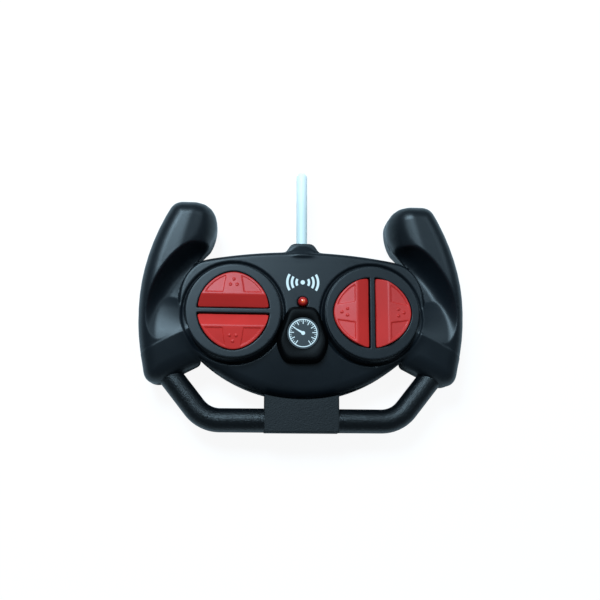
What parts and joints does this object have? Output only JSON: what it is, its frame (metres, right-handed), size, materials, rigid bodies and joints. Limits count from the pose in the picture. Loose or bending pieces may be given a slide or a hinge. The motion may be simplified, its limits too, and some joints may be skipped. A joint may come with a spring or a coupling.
{
  "type": "radio transmitter controller",
  "caption": "Handheld toy radio transmitter shaped like a racing wheel: two thumb pads with rocking half-moon buttons, gauge pod, status lamp, whip antenna and battery hump.",
  "frame": {"origin": "centre of the flat back rest of the battery hump, midway between the two thumb pads", "axes": "+Z out of the front face, +Y towards the antenna, +X to the user's right"},
  "size_m": [0.1694, 0.1412, 0.0358],
  "materials": {
    "case": "satin moulded",
    "bar": "spark-textured",
    "bezel": "satin moulded",
    "dial": "printed",
    "button": "satin red",
    "rubber": "silicone",
    "board": "phenolic board",
    "chip": "moulded epoxy",
    "tin": "tinned",
    "capacitor": "sleeved",
    "resistor": "lacquered",
    "lamp": "clear red",
    "antenna": "soft white",
    "screw": "zinc plated",
    "lead_white": "insulated wire",
    "lead_red": "insulated wire",
    "lead_black": "insulated wire",
    "cell": "printed sleeve",
    "contact": "nickel plated"
  },
  "bodies": {
    "case": {"front_shell": "case", "rear_shell": "case", "lower_bar_front": "bar", "lower_bar_rear": "bar", "left_bezel": "bezel", "right_bezel": "bezel", "gauge_pod": "bezel", "gauge_dial": "dial", "forward_dome": "rubber", "reverse_dome": "rubber", "left_dome": "rubber", "right_dome": "rubber", "circuit_board": "board", "encoder_chip": "chip", "crystal": "tin", "tuning_coil": "tin", "transistors": "chip", "capacitors": "capacitor", "resistors": "resistor", "status_led": "lamp", "antenna_rod": "antenna", "antenna_screw": "screw", "antenna_lead": "lead_white", "red_battery_lead": "lead_red", "black_battery_lead": "lead_black", "battery_cell_1": "cell", "battery_cell_2": "cell", "positive_contact": "contact", "negative_spring": "contact", "bridge_contact": "contact", "case_screws": "screw", "board_screws": "screw"},
    "forward_button": {"forward_button": "button"},
    "reverse_button": {"reverse_button": "button"},
    "left_button": {"left_button": "button"},
    "right_button": {"right_button": "button"},
    "battery_door": {"battery_door": "case"}
  },
  "joints": [
    {"name": "forward_press", "type": "slide", "parent": "case", "child": "forward_button", "axis": [0, 0, -1], "range_m": [0, 0.0015], "stiffness_N_per_m": 600, "springref_m": -0.0003, "deforming": ["forward_dome"]},
    {"name": "reverse_press", "type": "slide", "parent": "case", "child": "reverse_button", "axis": [0, 0, -1], "range_m": [0, 0.0015], "stiffness_N_per_m": 600, "springref_m": -0.0003, "deforming": ["reverse_dome"]},
    {"name": "left_press", "type": "slide", "parent": "case", "child": "left_button", "axis": [0, 0, -1], "range_m": [0, 0.0015], "stiffness_N_per_m": 600, "springref_m": -0.0003, "deforming": ["left_dome"]},
    {"name": "right_press", "type": "slide", "parent": "case", "child": "right_button", "axis": [0, 0, -1], "range_m": [0, 0.0015], "stiffness_N_per_m": 600, "springref_m": -0.0003, "deforming": ["right_dome"]},
    {"name": "door_slide", "type": "slide", "parent": "case", "child": "battery_door", "axis": [0, -1, 0], "range_m": [0, 0.042]}
  ]
}
